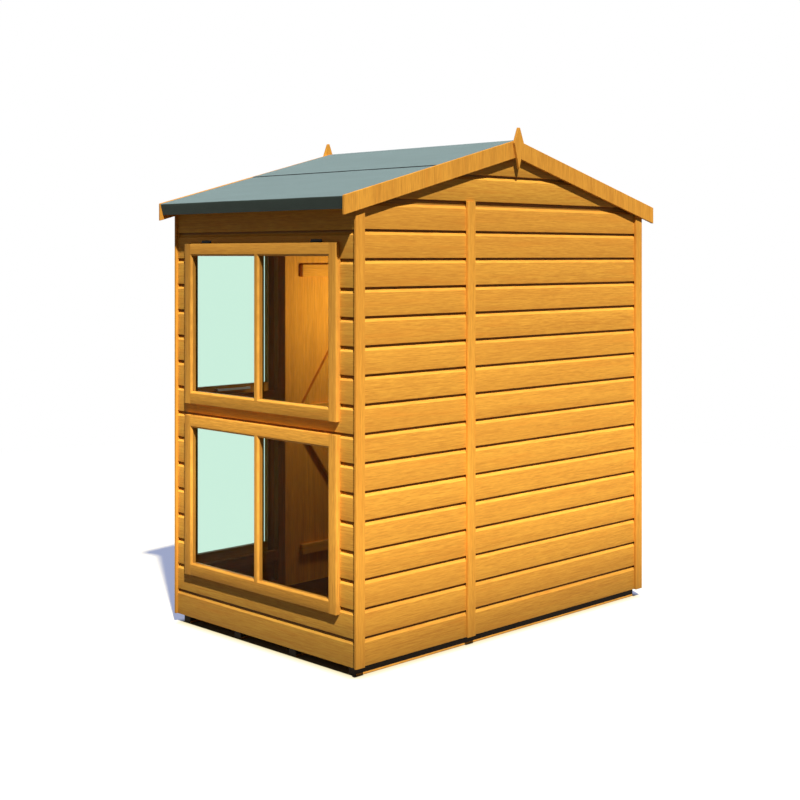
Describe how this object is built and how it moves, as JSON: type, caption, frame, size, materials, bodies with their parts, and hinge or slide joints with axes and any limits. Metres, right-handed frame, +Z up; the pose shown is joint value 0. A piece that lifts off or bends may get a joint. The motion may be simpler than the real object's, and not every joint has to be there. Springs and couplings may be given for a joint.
{
  "type": "wooden garden shed",
  "caption": "Small apex garden shed of golden shiplap boards with a felt roof, tall side windows one above the other, and a ledged and braced door that opens outwards.",
  "frame": {"origin": "middle of the base, on the ground", "axes": "+Z up, -Y is the front gable with the door, +X is the right side seen from the front; the ridge runs along Y"},
  "size_m": [1.994, 1.233, 2.1621],
  "materials": {
    "wall_boards": "treated shiplap softwood, golden, satin",
    "framing": "sawn softwood, matt",
    "trim": "planed softwood, golden, satin",
    "sash": "planed softwood, satin",
    "door_wood": "planed softwood, orange gold, satin",
    "floor_boards": "sawn softwood boards, matt",
    "roof_boards": "sawn softwood boards, matt",
    "felt": "mineral-faced roofing felt, grey green",
    "glass": "clear sheet with a pale green cast",
    "black_iron": "black painted ironwork",
    "bright_steel": "zinc plated"
  },
  "bodies": {
    "shed": {"bearers": "framing", "floor": "floor_boards", "right_wall_boards": "wall_boards", "right_wall_frame": "framing", "right_window_frames": "sash", "right_window_glass": "glass", "left_wall_boards": "wall_boards", "left_wall_frame": "framing", "left_window_frames": "sash", "left_window_glass": "glass", "back_wall_wide_boards": "wall_boards", "back_wall_wide_frame": "framing", "back_wall_narrow_boards": "wall_boards", "back_wall_narrow_frame": "framing", "back_cover_strip": "trim", "back_corner_strips": "trim", "front_corner_strips": "trim", "front_right_wall_boards": "wall_boards", "front_right_wall_frame": "framing", "front_right_window_frames": "sash", "front_right_window_glass": "glass", "front_left_wall_boards": "wall_boards", "front_left_wall_frame": "framing", "front_left_window_frames": "sash", "front_left_window_glass": "glass", "door_head_boards": "wall_boards", "door_head_frame": "framing", "back_gable_boards": "wall_boards", "back_gable_frame": "framing", "front_gable_boards": "wall_boards", "front_gable_frame": "framing", "right_roof_deck": "roof_boards", "left_roof_deck": "roof_boards", "eaves_battens": "roof_boards", "right_lower_felt": "felt", "left_lower_felt": "felt", "ridge_felt": "felt", "back_bargeboards": "trim", "front_bargeboards": "trim", "back_finial": "trim", "front_finial": "trim", "door_hinge_flaps": "black_iron", "turn_button": "trim", "window_hinges": "black_iron", "window_stays": "bright_steel"},
    "door": {"door_boards": "door_wood", "door_bracing": "framing", "door_hinge_straps": "black_iron", "door_handle": "black_iron"}
  },
  "joints": [
    {"name": "door_hinge", "type": "hinge", "parent": "shed", "child": "door", "pos_m": [-0.348, -0.5885, 0.845], "axis": [0, 0, -1], "range_deg": [0, 110]}
  ]
}
